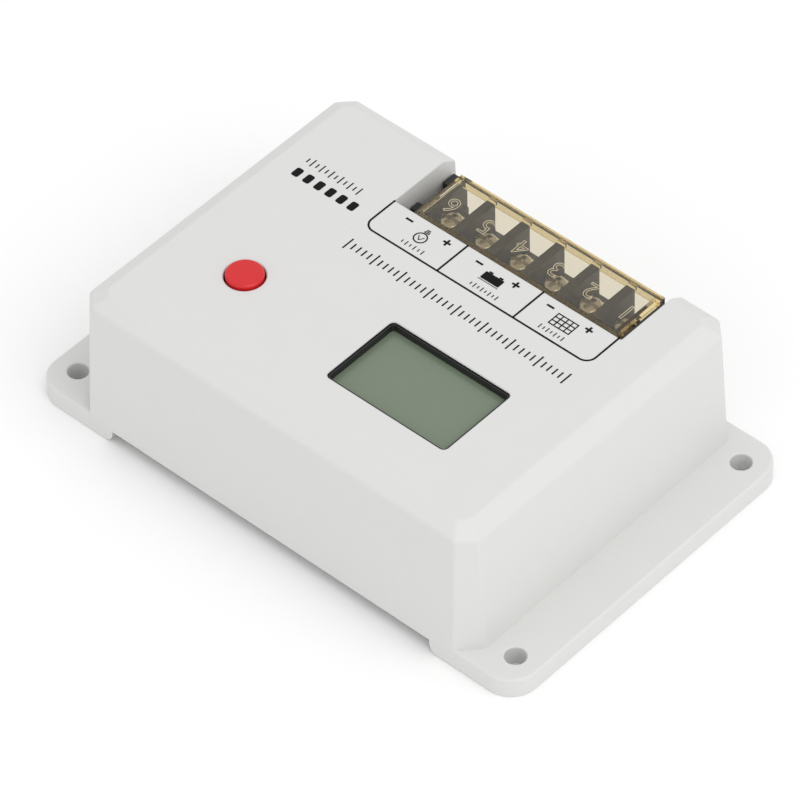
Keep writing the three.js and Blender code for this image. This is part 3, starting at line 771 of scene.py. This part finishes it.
def printed_polarity():
    ink = Print()
    half = MARK / 2
    arm = MARK_ARM / 2
    cross = [(-half, -arm), (-arm, -arm), (-arm, -half), (arm, -half), (arm, -arm), (half, -arm),
             (half, arm), (arm, arm), (arm, half), (-arm, half), (-arm, arm), (-half, arm)]
    for minus, plus in MARK_PAIRS:
        ink.bar(minus, MARK_Y, MARK, MARK_ARM)
        ink.polygon([(plus + x, MARK_Y + y) for x, y in cross])
    return ink.finish("print_polarity")


def bulb(ink):
    """A round lamp with two filament lines and a cap of three bars."""
    ink.line(circle(BULB["x"], BULB["y"], BULB["radius"], 40), 0.3, closed=True)
    for offset in (-0.75, 0.75):
        ink.line([(BULB["x"] + offset, -17.4), (BULB["x"], -16.2)], 0.2)
    for step in range(3):
        ink.bar(10.5, -18.75 - 0.42 * step, 1.5 - 0.3 * step, 0.26)


def battery(ink):
    """A block with two posts and a line along its lid."""
    ink.polygon(rectangle(*BATTERY["x"], *BATTERY["y"], 0.25))
    for x in BATTERY["posts"]:
        ink.bar(x, -18.85, 1.0, 0.4)
    ink.line([(-11.2, -16.05), (-5.9, -16.05)], 0.16)


def solar_panel(ink):
    """A grid of four by three cells."""
    x0, x1 = PANEL["x"]
    y0, y1 = PANEL["y"]
    reach = PANEL["line"] / 2
    for column in range(5):
        x = x0 + (x1 - x0) * column / 4
        ink.line([(x, y0 - reach), (x, y1 + reach)], PANEL["line"])
    for row in range(4):
        y = y0 + (y1 - y0) * row / 3
        ink.line([(x0 - reach, y), (x1 + reach, y)], PANEL["line"])


def printed_symbols():
    ink = Print()
    bulb(ink)
    battery(ink)
    solar_panel(ink)
    return ink.finish("print_symbols")


def printed_scales():
    """Plain tick rows that stand where the front carries its captions."""
    ink = Print()
    for x0, x1, count in CAPTIONS:
        ink.ticks(x0, x1, CAPTION_Y, count, (1.3, 0.8), 0.24)
    ink.ticks(-38.4, 20.8, SCALE_Y, 41, (3.4, 1.9, 1.9, 1.9, 1.9), 0.36)
    ink.ticks(29.3, 43.6, -18.8, 12, (2.3, 1.3), 0.3)
    for index in range(6):
        x = PIPS["x"] + PIPS["pitch"] * index
        ink.polygon(rectangle(x - PIPS["half"], x + PIPS["half"], *PIPS["y"], 0.5))
    return ink.finish("print_scales")


# ---- Assembly ----
camera()
stage()
housing()
refine("terminal_base", BLACK_BLOCK, 0.2, 3)
terminal_cover()
for way in WAYS:
    terminal_screw(way)
    clamp_washer(way)
    refine(f"contact_plate_{way}", TINNED, 0.12)
refine("lcd_frame", BLACK_BEZEL, 0.1)
display()
refine("lcd_backlight", LIGHT_GUIDE, 0.3, 3)
refine("lcd_holder", BLACK_BEZEL, 0.3)
refine("lcd_pins", BLACK_BEZEL, 0.08)
button()
refine("switch_plunger", COMPONENT, 0.2)
refine("switch_body", COMPONENT, 0.25)
refine("circuit_board", LAMINATE, 0.1)
refine("back_plate", ALUMINIUM, 0.2)
refine("heat_spreader", ALUMINIUM, 0.3)
refine("microcontroller", COMPONENT, 0.08)
refine("buzzer", COMPONENT, 0.2)
refine("choke", COPPER, 0)
refine("shunt_resistor", COPPER, 0.15)
for index in (1, 2):
    refine(f"capacitor_{index}", CAN_SLEEVE, 0.2)
for index in range(1, 5):
    refine(f"mosfet_{index}", COMPONENT, 0.12)
    refine(f"back_screw_{index}", PLATED, 0.08)
    refine(f"board_screw_{index}", PLATED, 0.08)
printed_fields()
printed_polarity()
printed_symbols()
printed_scales()
